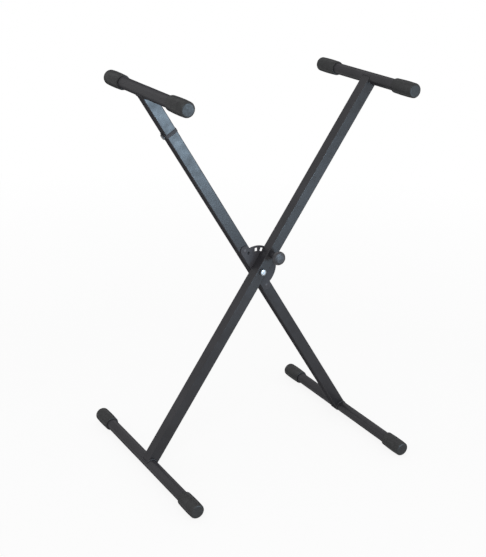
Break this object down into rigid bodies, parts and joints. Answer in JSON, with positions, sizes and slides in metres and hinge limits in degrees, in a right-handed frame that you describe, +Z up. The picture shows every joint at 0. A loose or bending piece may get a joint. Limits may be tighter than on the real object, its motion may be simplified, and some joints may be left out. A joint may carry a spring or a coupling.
{
  "type": "folding keyboard stand",
  "caption": "Folding X-shaped stand of square legs and round cross bars with rubber ends, a half-disc lock plate with a pull knob, and one sliding upper arm.",
  "frame": {"origin": "on the floor, under the pivot and the middle of the cross bars", "axes": "+Z up; the cross bars run along Y and the pivot bolt's head points to -Y; the front leg's top leans to +X"},
  "size_m": [0.5734, 0.484, 0.8575],
  "materials": {
    "black_coat": "semi-gloss black powder coat",
    "plate_coat": "satin black coat",
    "black_rubber": "satin black rubber",
    "zinc_steel": "bright zinc plate",
    "spring_steel": "plain spring steel",
    "knob_plastic": "satin black moulded plastic",
    "nylon": "dull black nylon"
  },
  "bodies": {
    "rear_leg": {"rear_leg_tube": "black_coat", "rear_foot_bar": "black_coat", "rear_foot_cap_near": "black_rubber", "rear_foot_cap_far": "black_rubber", "lock_plate": "plate_coat", "lock_plate_rivets": "plate_coat", "rear_leg_bush": "zinc_steel", "pivot_bolt": "zinc_steel", "pivot_head_washer": "nylon", "pivot_nut_washer": "zinc_steel", "pivot_nut": "zinc_steel", "pivot_spacer": "nylon", "arm_collar": "plate_coat"},
    "rear_arm": {"rear_arm_tube": "black_coat", "rear_arm_spigot": "black_coat", "spigot_rivets": "plate_coat", "spigot_glide": "nylon", "rear_top_bar": "black_coat", "rear_top_sleeve_near": "black_rubber", "rear_top_sleeve_far": "black_rubber"},
    "arm_lock_screw": {"arm_screw": "zinc_steel", "arm_screw_knob": "knob_plastic"},
    "front_leg": {"front_leg_tube": "black_coat", "front_leg_bush": "zinc_steel", "front_top_bar": "black_coat", "front_top_sleeve_near": "black_rubber", "front_top_sleeve_far": "black_rubber", "front_foot_bar": "black_coat", "front_foot_cap_near": "black_rubber", "front_foot_cap_far": "black_rubber", "lock_barrel": "black_coat", "barrel_plug": "zinc_steel", "lock_spring": "spring_steel"},
    "pull_knob": {"lock_pin": "zinc_steel", "pin_clip": "zinc_steel", "lock_knob": "knob_plastic"}
  },
  "joints": [
    {"name": "fold", "type": "hinge", "parent": "rear_leg", "child": "front_leg", "pos_m": [0, 0, 0.42933], "axis": [0, 1, 0], "range_deg": [-62, 35.2]},
    {"name": "arm_slide", "type": "slide", "parent": "rear_leg", "child": "rear_arm", "axis": [-0.5476, 0, 0.8368], "range_m": [0, 0.06]},
    {"name": "arm_screw_turn", "type": "hinge", "parent": "rear_leg", "child": "arm_lock_screw", "pos_m": [-0.21204, 0.0149, 0.75336], "axis": [-0.8368, 0, -0.5476], "range_deg": [0, 720]},
    {"name": "knob_pull", "type": "slide", "parent": "front_leg", "child": "pull_knob", "axis": [0, -1, 0], "range_m": [-0.0035, 0.002], "stiffness_N_per_m": 400, "springref_m": -0.01, "deforming": ["lock_spring"]}
  ]
}
